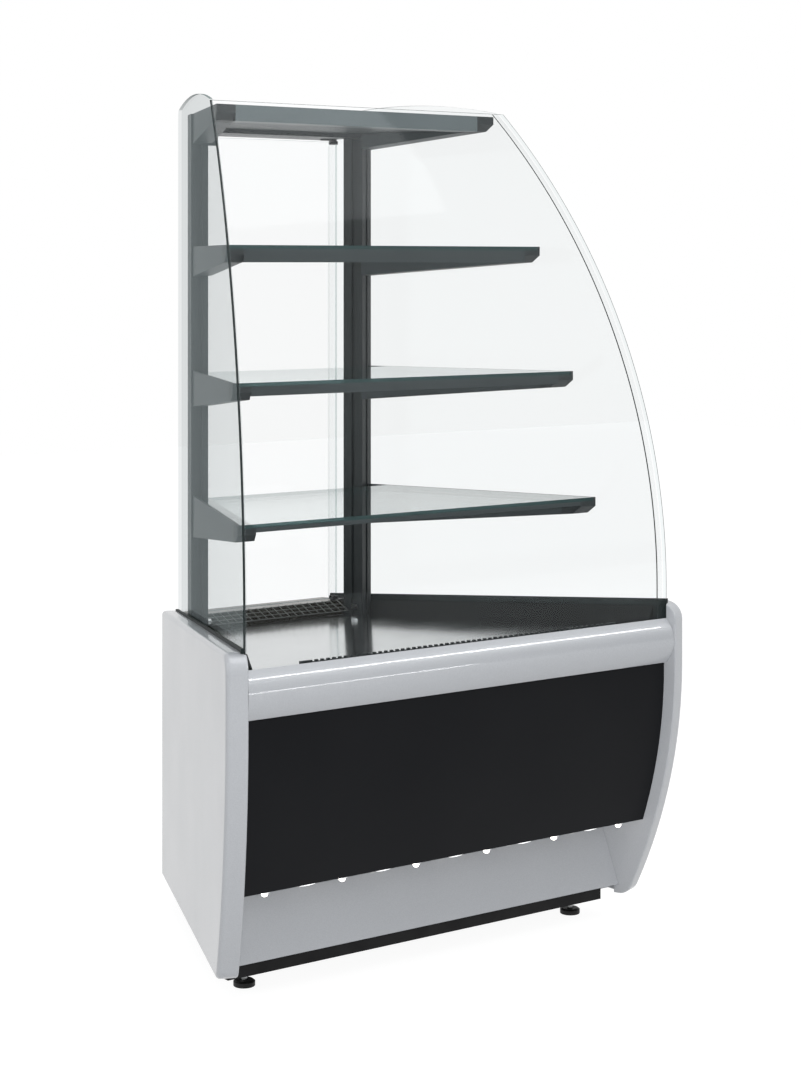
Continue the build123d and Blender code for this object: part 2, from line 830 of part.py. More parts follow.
def arm_strip(outline, width, rear_ahead, front_ahead):
    """An outline kept between two side planes and two cross planes, on the right."""
    with BuildPart() as arm:
        extrude(outline, amount=half_span)
        split(bisect_by=side_plane(arm_out), keep=Keep.TOP)
        split(bisect_by=side_plane(arm_out - width), keep=Keep.BOTTOM)
        split(bisect_by=cross_plane(fit_gap), keep=Keep.TOP)
        split(bisect_by=Plane.XZ.offset(-ahead(front_ahead)), keep=Keep.BOTTOM)
        split(bisect_by=Plane.XZ.offset(-ahead(rear_ahead)), keep=Keep.TOP)
    return arm.part


def shelf_rebate(top):
    """Seat of a glass shelf along the right arm: everything inside the lip, above the seat."""
    with BuildPart() as seat:
        with BuildSketch(side_plane(arm_out - shelf_lip)):
            with Locations((0, top)):
                Rectangle(2 * reach_span, shelf_pane, align=(Align.CENTER, Align.MAX))
        extrude(amount=shelf_arm_width)
    return seat.part


# Canopy: two arms from the posts, a beam across their tips, a ceiling, a roof and a rear rail
canopy_profile = arm_outline(canopy_ahead, canopy_top, canopy_arm_root, canopy_arm_tip)
canopy_cap_ahead = canopy_ahead - arm_cap
canopy_inner_out = arm_out - canopy_arm_width
back_rail_bottom = canopy_top - back_rail_height
ceiling_bottom = back_rail_bottom + ceiling_rise
with BuildPart() as canopy_arm:
    add(arm_strip(canopy_profile, canopy_arm_width, -half_span, canopy_cap_ahead))
save_pair(canopy_arm, "canopy_arm")

with BuildPart() as canopy_beam:
    with BuildSketch(Plane.YZ):
        with Locations((ahead(canopy_ahead), canopy_top)):
            Rectangle(canopy_beam_depth, canopy_beam_height, align=(Align.MIN, Align.MAX))
        with Locations((ahead(canopy_ahead - canopy_skin), canopy_top - canopy_skin)):
            Rectangle(
                canopy_beam_depth - 2 * canopy_skin,
                canopy_beam_height - 2 * canopy_skin,
                align=(Align.MIN, Align.MAX),
                mode=Mode.SUBTRACT,
            )
    extrude(amount=half_span)
    trim_and_mirror(canopy_inner_out)
save(canopy_beam, "canopy_front_beam")

post_corner_x, post_corner_y = along(0, post_out - post_width - fit_gap)
post_rear_x, post_rear_y = along(-post_depth, post_out - post_width - fit_gap)
rail_front_y = post_corner_y
for plate, plate_bottom in (("canopy_ceiling", ceiling_bottom), ("canopy_roof", canopy_top - canopy_skin)):
    with BuildPart() as canopy_plate:
        with BuildSketch(Plane.XY.offset(plate_bottom)):
            with Locations((0, rail_front_y)):
                Rectangle(
                    half_span,
                    rail_front_y - ahead(canopy_ahead - canopy_beam_depth),
                    align=(Align.MIN, Align.MAX),
                )
        extrude(amount=canopy_skin)
        trim_and_mirror(canopy_inner_out)
    save(canopy_plate, plate)

with BuildPart() as back_rail:
    with BuildSketch(Plane.XY.offset(back_rail_bottom)):
        with BuildLine():
            Polyline(
                (0, rail_front_y),
                (post_corner_x, rail_front_y),
                (post_rear_x - fit_gap, post_rear_y),
                (post_rear_x - fit_gap, ahead(back_rail_rear_ahead)),
                (0, ahead(back_rail_rear_ahead)),
                close=True,
            )
        make_face()
    extrude(amount=canopy_top - back_rail_bottom)
    mirror(about=Plane.YZ)
save(back_rail, "canopy_back_rail")

# Glass shelves on tapered arms; the arms' ends are closed by caps
arm_caps = [arm_strip(canopy_profile, canopy_arm_width, canopy_cap_ahead, canopy_ahead)]
front_rails = []
for level, shelf_name in enumerate(shelf_names):
    shelf_top = top_shelf - level * shelf_pitch
    seat_height = shelf_top - shelf_pane
    tip_ahead = shelf_ahead[level]
    cap_ahead = tip_ahead - arm_cap
    profile = arm_outline(tip_ahead, shelf_top, shelf_arm_root[level], shelf_arm_tip)

    with BuildPart() as shelf_arms:
        add(arm_strip(profile, shelf_arm_width, -half_span, cap_ahead))
        add(shelf_rebate(shelf_top), mode=Mode.SUBTRACT)
        mirror(about=Plane.YZ)
    save(shelf_arms, f"shelf_arms_{shelf_name}")

    with BuildPart() as shelf_cap:
        add(arm_strip(profile, shelf_arm_width, cap_ahead, tip_ahead))
        add(shelf_rebate(shelf_top), mode=Mode.SUBTRACT)
    arm_caps.append(shelf_cap.part)

    with BuildPart() as shelf_glass:
        with BuildSketch(Plane.XY.offset(seat_height)):
            with Locations((0, ahead(tip_ahead))):
                Rectangle(half_span, tip_ahead - shelf_rear_ahead, align=(Align.MIN, Align.MIN))
        extrude(amount=shelf_pane)
        trim_and_mirror(arm_out - shelf_lip - glass_gap)
    save(shelf_glass, f"shelf_glass_{shelf_name}")

    with BuildPart() as shelf_rail:
        with BuildSketch(Plane.YZ):
            with Locations((ahead(tip_ahead), seat_height)):
                Rectangle(shelf_rail_depth, shelf_rail_height[level], align=(Align.MIN, Align.MAX))
        extrude(amount=half_span)
        trim_and_mirror(arm_out - shelf_arm_width)
    front_rails.append(shelf_rail.part)

with BuildPart() as caps:
    add(arm_caps)
    mirror(about=Plane.YZ)
save(caps, "arm_end_caps")

with BuildPart() as rails:
    add(front_rails)
save(rails, "shelf_front_rails")

# Rear door: one clear leaf on two pivots at its right-hand edge
door_y = ahead(door_ahead)
door_middle_y = door_y + door_pane / 2
hinge_x = door_half_width - hinge_offset
patch_depth = door_pane + 2 * patch_wall
door_bottom = sill_top + door_foot_gap
door_top = back_rail_bottom - door_head_gap
pin_bottom = sill_top + pivot_plate
pin_top = back_rail_bottom - pivot_plate
with BuildPart() as door_glass:
    with BuildSketch(Plane.XY.offset(door_bottom)):
        with Locations((0, door_middle_y)):
            Rectangle(2 * door_half_width, door_pane)
    extrude(amount=door_top - door_bottom)
save(door_glass, "rear_door_glass")

patch_ends = ((pin_bottom + patch_gap, door_bottom, 1), (pin_top - patch_gap, door_top, -1))
with BuildPart() as door_patches:
    for patch_end, glass_end, way in patch_ends:
        with BuildSketch(Plane.XY.offset(patch_end)):
            with Locations((door_half_width, door_middle_y)):
                Rectangle(patch_width, patch_depth, align=(Align.MAX, Align.CENTER))
        extrude(amount=way * patch_height)
        with BuildSketch(Plane.XY.offset(glass_end)):
            with Locations((door_half_width, door_middle_y)):
                Rectangle(patch_width, door_pane, align=(Align.MAX, Align.CENTER))
        extrude(amount=way * patch_height, mode=Mode.SUBTRACT)
        with BuildSketch(Plane.XY.offset(patch_end)):
            with Locations((hinge_x, door_middle_y)):
                Circle(pin_radius + run_gap)
        extrude(amount=glass_end - patch_end, mode=Mode.SUBTRACT)
save(door_patches, "rear_door_patches")

with BuildPart() as door_pivots:
    foot_end = (sill_top, door_bottom, 1, door_half_width + pivot_outboard)
    head_end = (back_rail_bottom, door_top, -1, door_half_width)
    for pivot_end, glass_end, way, plate_end in (foot_end, head_end):
        with BuildSketch(Plane.XY.offset(pivot_end)):
            with Locations((plate_end, door_middle_y)):
                SlotOverall(pivot_length, pivot_depth, align=(Align.MAX, Align.CENTER))
        extrude(amount=way * pivot_plate)
        with BuildSketch(Plane.XY.offset(pivot_end)):
            with Locations((hinge_x, door_middle_y)):
                Circle(pin_radius)
        extrude(amount=glass_end - pivot_end - way * fit_gap)
save(door_pivots, "rear_door_pivots")

handle_x = handle_inset - door_half_width
handle_back_y = door_y + door_pane
bar_y = handle_back_y + handle_standoff
with BuildPart() as door_handle:
    with BuildSketch(Plane.XY.offset(handle_height - handle_length / 2)):
        with Locations((handle_x, bar_y)):
            Circle(handle_radius)
    extrude(amount=handle_length)
    with BuildSketch(Plane.XZ.offset(-handle_back_y)):
        with Locations((handle_x, handle_height)):
            with GridLocations(1, handle_length - 6 * handle_radius, 1, 2):
                Circle(handle_radius * 2 / 3)
    extrude(amount=-handle_standoff)
save(door_handle, "rear_door_handle")

with BuildPart() as door_catch:
    with BuildSketch(Plane.XY.offset(back_rail_bottom)):
        with Locations((-door_half_width + catch_width, door_y - run_gap)):
            Rectangle(catch_width, catch_depth, align=(Align.CENTER, Align.MAX))
    extrude(amount=-catch_height)
save(door_catch, "rear_door_catch")

# Light driver on the base floor
with BuildPart() as light_driver:
    with BuildSketch(Plane.XY.offset(floor_top)):
        with Locations((driver_x, ahead(driver_ahead))):
            RectangleRounded(driver_length, driver_width, switch_wall)
    extrude(amount=driver_height)
save(light_driver, "light_driver")

# Mains inlet and light switch in the rear panel
rear_face = ahead(rear_panel_ahead) + sheet
with BuildPart() as mains_inlet:
    with BuildSketch(Plane.XZ.offset(-rear_face)):
        with Locations((inlet_x, electrics_height)):
            Rectangle(inlet_width, inlet_height)
    extrude(amount=inlet_depth)
    with BuildSketch(Plane.XZ.offset(-rear_face)):
        with Locations((inlet_x, electrics_height)):
            RectangleRounded(inlet_width + 2 * flange_lip, inlet_height + 2 * flange_lip, flange_lip)
    extrude(amount=-flange_thick)
    with BuildSketch(Plane.XZ.offset(-rear_face - flange_thick)):
        with Locations((inlet_x, electrics_height)):
            Rectangle(inlet_cavity_width, inlet_cavity_height)
    extrude(amount=inlet_cavity_depth, mode=Mode.SUBTRACT)
    with BuildSketch(Plane.XZ.offset(-rear_face - flange_thick + inlet_cavity_depth)):
        with Locations((inlet_x, electrics_height)):
            with GridLocations(inlet_pin_pitch, 1, 3, 1):
                Rectangle(inlet_pin_width, inlet_pin_height)
    extrude(amount=-inlet_cavity_depth * 3 / 4)
save(mains_inlet, "mains_inlet")

with BuildPart() as switch_bezel:
    with BuildSketch(Plane.XZ.offset(-rear_face)):
        with Locations((switch_x, electrics_height)):
            Rectangle(switch_width, switch_height)
    extrude(amount=switch_depth)
    with BuildSketch(Plane.XZ.offset(-rear_face)):
        with Locations((switch_x, electrics_height)):
            RectangleRounded(switch_width + flange_lip, switch_height + flange_lip, switch_wall)
    extrude(amount=-flange_thick)
    with BuildSketch(Plane.XZ.offset(-rear_face - flange_thick)):
        with Locations((switch_x, electrics_height)):
            Rectangle(switch_width - 2 * switch_wall, switch_height - 2 * switch_wall)
    extrude(amount=switch_depth + flange_thick - switch_wall, mode=Mode.SUBTRACT)
save(switch_bezel, "switch_bezel")

# Rocker in its "on" position: a drum with two faces that meet in a shallow valley
rocker_half = switch_height / 2 - switch_wall - rocker_gap
rocker_y = rear_face - flange_thick
valley_drop = rocker_half * tan(radians(rocker_tilt))
with BuildPart() as switch_rocker:
    with BuildSketch(Plane.YZ.offset(switch_x)) as rocker_profile:
        with BuildLine():
            Polyline(
                (rocker_y + rocker_proud, electrics_height),
                (rocker_y + rocker_proud, electrics_height + rocker_half - rocker_shoulder),
                (rocker_y - rocker_proud, electrics_height + rocker_half - 2 * rocker_shoulder),
                (rocker_y - rocker_radius, electrics_height),
                (rocker_y - rocker_proud, electrics_height - rocker_half + 2 * rocker_shoulder),
                (rocker_y + rocker_proud + 2 * valley_drop, electrics_height - rocker_half + rocker_shoulder),
                close=True,
            )
        make_face()
    extrude(amount=switch_width / 2 - switch_wall - fit_gap, both=True)
save(switch_rocker, "switch_rocker")
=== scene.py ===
# %% [markdown]
# A glass display case in Blender, step by step
#
# The case is narrow at the back and wide at the front. Its hard parts were designed in CAD and
# arrive here as a fixed frame. This lesson gives them their finishes, adds the thin and fine
# parts that a drawing leaves out, and lights them as in a plain studio.

import bpy
import bmesh
import numpy as np
from math import cos, radians, sin, sqrt
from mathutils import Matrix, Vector


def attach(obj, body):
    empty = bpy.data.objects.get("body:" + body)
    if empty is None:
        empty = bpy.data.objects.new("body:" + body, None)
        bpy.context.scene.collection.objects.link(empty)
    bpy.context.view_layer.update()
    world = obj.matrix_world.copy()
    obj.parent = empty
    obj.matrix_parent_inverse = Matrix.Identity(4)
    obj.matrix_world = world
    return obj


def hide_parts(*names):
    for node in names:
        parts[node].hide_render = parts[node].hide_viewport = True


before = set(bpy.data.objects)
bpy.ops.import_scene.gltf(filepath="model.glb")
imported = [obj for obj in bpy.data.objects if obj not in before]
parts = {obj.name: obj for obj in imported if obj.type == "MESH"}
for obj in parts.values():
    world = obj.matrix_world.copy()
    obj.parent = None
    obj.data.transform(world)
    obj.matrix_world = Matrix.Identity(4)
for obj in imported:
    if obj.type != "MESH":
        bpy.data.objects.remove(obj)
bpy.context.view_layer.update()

# %% [markdown]
# The case's plan
#
# Every added part sits on a plane of the case, so the few sizes that fix those planes come
# first. The two sides open outward by 22.5 degrees. "Ahead" is a distance straight forward of
# the rear posts, "reach" is a distance along a side, and "out" is square to it.

# %% Sizes of the case, in metres
SIDE_ANGLE = radians(22.5)
BACK_HALF_WIDTH = 0.202
POST_LINE = 0.234691
GLASS_AHEAD = 0.550
PANE = 0.006
LIP_BOTTOM = 0.175


def ahead(distance):
    """Y of a plane at a distance in front of the posts."""
    return POST_LINE - distance


def along(reach, out, side=1):
    """X and Y of a point beside the right side (side 1) or the left side (side -1)."""
    x = BACK_HALF_WIDTH + reach * sin(SIDE_ANGLE) + out * cos(SIDE_ANGLE)
    y = POST_LINE - reach * cos(SIDE_ANGLE) + out * sin(SIDE_ANGLE)
    return side * x, y


print("front corner of the right glass:", np.round(along(GLASS_AHEAD / cos(SIDE_ANGLE), 0), 3))

# %% [markdown]
# The camera
#
# The photograph was taken with a level camera, so upright edges stay parallel. A level camera
# with some vertical shift does the same, where tilting it would make the uprights lean.

# %% Camera
camera_data = bpy.data.cameras.new("studio_camera")
camera_data.lens = 75.307
camera_data.sensor_width = 36.0
camera_data.shift_x = 0.00046
camera_data.shift_y = -0.2549
camera_data.clip_end = 60.0
camera = bpy.data.objects.new("studio_camera", camera_data)
camera.location = (-2.2428, -3.18341, 1.1351)
camera.rotation_euler = (radians(90), 0, radians(-36.248))
bpy.context.scene.collection.objects.link(camera)
bpy.context.scene.camera = camera
bpy.context.scene.view_settings.view_transform = "Standard"
print("camera at", tuple(round(v, 3) for v in camera.location))

# %% [markdown]
# Points into meshes
#
# Each added part is worked out as whole arrays of points. A grid of points becomes a skin of
# four-sided faces, and a row of such skins becomes one mesh.

# %% Grids and meshes
NEARLY_UPRIGHT = 0.9


def grid_faces(rows, columns, around=False):
    """Corner numbers of the faces between neighbours on a grid. A grid that goes around joins
    its last column to its first."""
    r, c = np.meshgrid(np.arange(rows - 1), np.arange(columns if around else columns - 1), indexing="ij")
    right = (c + 1) % columns
    corners = [r * columns + c, r * columns + right, (r + 1) * columns + right, (r + 1) * columns + c]
    return np.stack(corners, axis=-1).reshape(-1, 4)


def tube_faces(rings, sides):
    """Faces of a closed tube whose points are numbered ring by ring: its skin, then both ends."""
    first = list(range(sides))[::-1]
    last = list(range((rings - 1) * sides, rings * sides))
    return grid_faces(rings, sides, around=True).tolist() + [first, last]


def add_part(name, points, faces, finish, body="case", smooth=0.0):
    """One mesh object from points and faces, with its finish, riding on a body. Edges that turn
    by less than the smooth angle are shaded round."""
    mesh = bpy.data.meshes.new(name)
    mesh.from_pydata(points.reshape(-1, 3).tolist(), [], [list(face) for face in faces])
    work = bmesh.new()
    work.from_mesh(mesh)
    bmesh.ops.recalc_face_normals(work, faces=work.faces)
    work.to_mesh(mesh)
    work.free()
    if smooth:
        mesh.shade_smooth()
        mesh.set_sharp_from_angle(angle=smooth)
    mesh.materials.append(finish)
    part = bpy.data.objects.new(name, mesh)
    bpy.context.scene.collection.objects.link(part)
    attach(part, body)
    print(f"{name}: {len(mesh.vertices)} points, {len(mesh.polygons)} faces")
    return part


def many(shape, faces, places):
    """Copies of one shape at several places: its points moved by each place, and its faces
    counted on by the number of its points."""
    places = np.asarray(places, float).reshape(-1, 1, 3)
    points = shape.reshape(1, -1, 3) + places
    count = shape.reshape(-1, 3).shape[0]
    shifted = [[corner + copy * count for corner in face] for copy in range(len(places)) for face in faces]
    return points.reshape(-1, 3), shifted


def rods(starts, ends, radius, sides=8):
    """Straight round rods: at each end of a rod lies a ring, the circle in the plane square to
    the rod. The two rings are joined by faces and closed by flat ends."""
    starts, ends = np.asarray(starts, float), np.asarray(ends, float)
    way = ends - starts
    way /= np.linalg.norm(way, axis=1, keepdims=True)
    upright = np.abs(way[:, 2:3]) > NEARLY_UPRIGHT
    helper = np.where(upright, [[1.0, 0, 0]], [[0, 0, 1.0]])
    u = np.cross(way, helper)
    u /= np.linalg.norm(u, axis=1, keepdims=True)
    v = np.cross(way, u)
    turn = np.linspace(0, 2 * np.pi, sides, endpoint=False)[None, :, None]
    ring = radius * (np.cos(turn) * u[:, None] + np.sin(turn) * v[:, None])
    points = np.stack([starts[:, None] + ring, ends[:, None] + ring], axis=1)
    per_rod = 2 * sides
    one = tube_faces(2, sides)
    faces = [[corner + rod * per_rod for corner in face] for rod in range(len(starts)) for face in one]
    return points.reshape(-1, 3), faces


def swept(profile, path, across, up):
    """A closed profile carried along a path: a profile point (a, b) lands at the path point plus
    a times the across direction plus b times the up direction. Both ends are closed."""
    profile, path = np.asarray(profile, float), np.asarray(path, float)
    across = np.broadcast_to(np.asarray(across, float), path.shape)
    up = np.broadcast_to(np.asarray(up, float), path.shape)
    points = (
        path[:, None] + profile[None, :, 0:1] * across[:, None] + profile[None, :, 1:2] * up[:, None]
    )
    return points, tube_faces(*points.shape[:2])


print("mesh tools ready")

# %% [markdown]
# Finishes
#
# A finish is a Principled shader with its plain settings on its own sockets. What makes it look
# real is what changes across the surface: faint clouds in the colour, wear in the gloss, and
# fine bumps. These read Object coordinates, so they stay with the part when it moves.

# %% Tools for the finishes


def new_finish(name, colour, roughness, metallic=0.0, specular=0.5, coat=0.0, coat_roughness=0.05):
    """A material with one Principled shader and its plain settings."""
    finish = bpy.data.materials.new(name)
    finish.use_nodes = True
    finish.diffuse_color = (*colour, 1)
    shader = finish.node_tree.nodes["Principled BSDF"]
    shader.inputs["Base Color"].default_value = (*colour, 1)
    shader.inputs["Roughness"].default_value = roughness
    shader.inputs["Metallic"].default_value = metallic
    shader.inputs["Specular IOR Level"].default_value = specular
    shader.inputs["Coat Weight"].default_value = coat
    shader.inputs["Coat Roughness"].default_value = coat_roughness
    return finish


def noise(finish, scale, detail=3.0, stretch=(1, 1, 1)):
    """A noise texture on the part's own coordinates, stretched by a Mapping node."""
    nodes, links = finish.node_tree.nodes, finish.node_tree.links
    where = nodes.new("ShaderNodeTexCoord")
    mapping = nodes.new("ShaderNodeMapping")
    mapping.inputs["Scale"].default_value = stretch
    texture = nodes.new("ShaderNodeTexNoise")
    texture.inputs["Scale"].default_value = scale
    texture.inputs["Detail"].default_value = detail
    links.new(where.outputs["Object"], mapping.inputs["Vector"])
    links.new(mapping.outputs["Vector"], texture.inputs["Vector"])
    return texture.outputs["Fac"]


def cloud_colour(finish, pattern, low, high, start=0.35, end=0.65):
    """The colour runs from low to high as the pattern rises from start to end."""
    nodes, links = finish.node_tree.nodes, finish.node_tree.links
    ramp = nodes.new("ShaderNodeValToRGB")
    ramp.color_ramp.elements[0].position = start
    ramp.color_ramp.elements[0].color = (*low, 1)
    ramp.color_ramp.elements[1].position = end
    ramp.color_ramp.elements[1].color = (*high, 1)
    links.new(pattern, ramp.inputs["Fac"])
    links.new(ramp.outputs["Color"], nodes["Principled BSDF"].inputs["Base Color"])


def vary_roughness(finish, pattern, low, high):
    """The roughness runs from low to high with the pattern."""
    nodes, links = finish.node_tree.nodes, finish.node_tree.links
    spread = nodes.new("ShaderNodeMapRange")
    spread.inputs["From Min"].default_value = 0.3
    spread.inputs["From Max"].default_value = 0.7
    spread.inputs["To Min"].default_value = low
    spread.inputs["To Max"].default_value = high
    links.new(pattern, spread.inputs["Value"])
    links.new(spread.outputs["Result"], nodes["Principled BSDF"].inputs["Roughness"])


def bump(finish, pattern, strength, depth):
    """Fine relief from the pattern."""
    nodes, links = finish.node_tree.nodes, finish.node_tree.links
    relief = nodes.new("ShaderNodeBump")
    relief.inputs["Strength"].default_value = strength
    relief.inputs["Distance"].default_value = depth
    links.new(pattern, relief.inputs["Height"])
    links.new(relief.outputs["Normal"], nodes["Principled BSDF"].inputs["Normal"])


print("finish tools ready")

# %% [markdown]
# Painted and coated finishes
#
# The base is a satin silver paint under a gloss coat: the paint keeps it light all round, and
# the coat gives the long white lines on the bumper. The curved front panel is a deep, nearly
# even black, so its reflections are kept weak. The canopy's front beam is a lighter grey than
# the arms, and the risers beside the deck are the darkest of the coated parts.

# %% Paints
silver_paint = new_finish(
    "silver_paint", (0.50, 0.515, 0.54), 0.36, metallic=0.12, specular=0.25, coat=0.75, coat_roughness=0.025
)
flake = noise(silver_paint, 900.0, 2.0)
cloud_colour(silver_paint, flake, (0.47, 0.485, 0.51), (0.53, 0.545, 0.57))
vary_roughness(silver_paint, noise(silver_paint, 7.0), 0.33, 0.41)
bump(silver_paint, noise(silver_paint, 260.0, 1.0), 0.003, 0.0001)

black_panel_paint = new_finish("black_panel_paint", (0.0085, 0.009, 0.0105), 0.5, specular=0.10)
panel_cloud = noise(black_panel_paint, 3.0)
cloud_colour(black_panel_paint, panel_cloud, (0.0075, 0.008, 0.0095), (0.0095, 0.010, 0.0115))
bump(black_panel_paint, noise(black_panel_paint, 500.0, 1.0), 0.05, 0.0003)

plinth_paint = new_finish("plinth_paint", (0.006, 0.006, 0.0065), 0.55, specular=0.2)
cloud_colour(plinth_paint, noise(plinth_paint, 30.0), (0.004, 0.004, 0.0045), (0.009, 0.009, 0.0095))
bump(plinth_paint, noise(plinth_paint, 700.0, 1.0), 0.12, 0.0003)

frame_coat = new_finish("frame_coat", (0.022, 0.027, 0.028), 0.42, specular=0.35)
cloud_colour(frame_coat, noise(frame_coat, 5.0), (0.019, 0.023, 0.0245), (0.025, 0.031, 0.032))
vary_roughness(frame_coat, noise(frame_coat, 12.0), 0.36, 0.46)
bump(frame_coat, noise(frame_coat, 60.0, 2.0, stretch=(18, 18, 1)), 0.05, 0.0003)

riser_coat = new_finish("riser_coat", (0.006, 0.0074, 0.0077), 0.45, specular=0.25)
cloud_colour(riser_coat, noise(riser_coat, 5.0), (0.0052, 0.0064, 0.0066), (0.0068, 0.0084, 0.0088))
bump(riser_coat, noise(riser_coat, 60.0, 2.0), 0.05, 0.0003)

arm_coat = new_finish("arm_coat", (0.046, 0.057, 0.060), 0.45, specular=0.35)
cloud_colour(arm_coat, noise(arm_coat, 5.0), (0.042, 0.052, 0.055), (0.050, 0.062, 0.065))
bump(arm_coat, noise(arm_coat, 60.0, 2.0, stretch=(1, 14, 14)), 0.05, 0.0003)

canopy_coat = new_finish("canopy_coat", (0.145, 0.176, 0.184), 0.42, specular=0.4)
cloud_colour(canopy_coat, noise(canopy_coat, 5.0), (0.136, 0.165, 0.173), (0.154, 0.187, 0.195))
bump(canopy_coat, noise(canopy_coat, 60.0, 2.0, stretch=(1, 14, 14)), 0.05, 0.0003)

# Dark grey paint: the rear panel's own colour, and on the base floor also painted shade, so the hollow under
# the grille reads dark
service_paint_and_cavity_shade = new_finish("service_paint_and_cavity_shade", (0.060, 0.064, 0.066), 0.5, specular=0.3)
cloud_colour(service_paint_and_cavity_shade, noise(service_paint_and_cavity_shade, 40.0), (0.052, 0.056, 0.058), (0.068, 0.072, 0.074))
bump(service_paint_and_cavity_shade, noise(service_paint_and_cavity_shade, 420.0, 2.0), 0.15, 0.0003)

print("paints:", silver_paint.name, black_panel_paint.name, frame_coat.name)

# %% [markdown]
# Moulded parts and metal
#
# Caps, feet and electrical parts are moulded with a fine grain. The deck is satin metal that
# mirrors the posts and the white room softly, with a faint brush line along its width.

# %% Plastics and metals
cap_plastic = new_finish("cap_plastic", (0.028, 0.034, 0.036), 0.5, specular=0.35)
cloud_colour(cap_plastic, noise(cap_plastic, 90.0), (0.024, 0.030, 0.032), (0.033, 0.039, 0.041))
bump(cap_plastic, noise(cap_plastic, 900.0, 2.0), 0.18, 0.0003)

foot_plastic = new_finish("foot_plastic", (0.008, 0.008, 0.008), 0.5, specular=0.25)
cloud_colour(foot_plastic, noise(foot_plastic, 120.0), (0.006, 0.006, 0.006), (0.012, 0.012, 0.012))
bump(foot_plastic, noise(foot_plastic, 1200.0, 2.0), 0.2, 0.0003)

zinc_plate = new_finish("zinc_plate", (0.42, 0.43, 0.43), 0.34, metallic=1.0)
cloud_colour(zinc_plate, noise(zinc_plate, 26.0, 5.0), (0.34, 0.35, 0.35), (0.50, 0.51, 0.51))
vary_roughness(zinc_plate, noise(zinc_plate, 60.0), 0.24, 0.42)

deck_metal = new_finish("deck_metal", (0.49, 0.51, 0.52), 0.10, metallic=1.0)
cloud_colour(deck_metal, noise(deck_metal, 4.0), (0.47, 0.49, 0.50), (0.51, 0.53, 0.54))
vary_roughness(deck_metal, noise(deck_metal, 14.0), 0.11, 0.15)
bump(deck_metal, noise(deck_metal, 40.0, 2.0, stretch=(1, 30, 30)), 0.02, 0.0002)

sill_metal = new_finish("sill_metal", (0.060, 0.052, 0.040), 0.24, metallic=0.6)
cloud_colour(sill_metal, noise(sill_metal, 9.0), (0.050, 0.043, 0.032), (0.075, 0.066, 0.052))
vary_roughness(sill_metal, noise(sill_metal, 30.0), 0.18, 0.30)

wire_metal = new_finish("wire_metal", (0.14, 0.15, 0.14), 0.3, metallic=1.0)
cloud_colour(wire_metal, noise(wire_metal, 200.0), (0.11, 0.12, 0.11), (0.17, 0.18, 0.17))

chrome = new_finish("chrome", (0.80, 0.81, 0.82), 0.09, metallic=1.0)
vary_roughness(chrome, noise(chrome, 50.0), 0.06, 0.14)

seal_rubber = new_finish("seal_rubber", (0.014, 0.020, 0.020), 0.6, specular=0.2)
cloud_colour(seal_rubber, noise(seal_rubber, 150.0), (0.011, 0.016, 0.016), (0.018, 0.024, 0.024))

box_plastic = new_finish("box_plastic", (0.022, 0.022, 0.023), 0.45, specular=0.35)
cloud_colour(box_plastic, noise(box_plastic, 80.0), (0.018, 0.018, 0.019), (0.027, 0.027, 0.028))
bump(box_plastic, noise(box_plastic, 1000.0, 2.0), 0.15, 0.0003)

pivot_black = new_finish("pivot_black", (0.016, 0.016, 0.017), 0.35, metallic=0.5)
cloud_colour(pivot_black, noise(pivot_black, 300.0), (0.013, 0.013, 0.014), (0.020, 0.020, 0.021))
vary_roughness(pivot_black, noise(pivot_black, 90.0), 0.30, 0.42)

print("metals:", deck_metal.name, wire_metal.name, chrome.name)

# %% [markdown]
# Glass
#
# A pane could be a refracting solid, but many panes stand behind each other here and every one
# would bend and darken what is behind. Each face of a pane is instead a clear layer that tints
# what passes through, with a weak mirror on top that grows at a glancing angle. The cut edges
# of real glass look darker and greener, so faces that look along the pane's own directions are
# given a second, deeper tint.

# %% Glass finish
MIRROR_ROUGHNESS = 0.02
EDGE_CURVE = 3.0
EDGE_LIMIT = 0.6


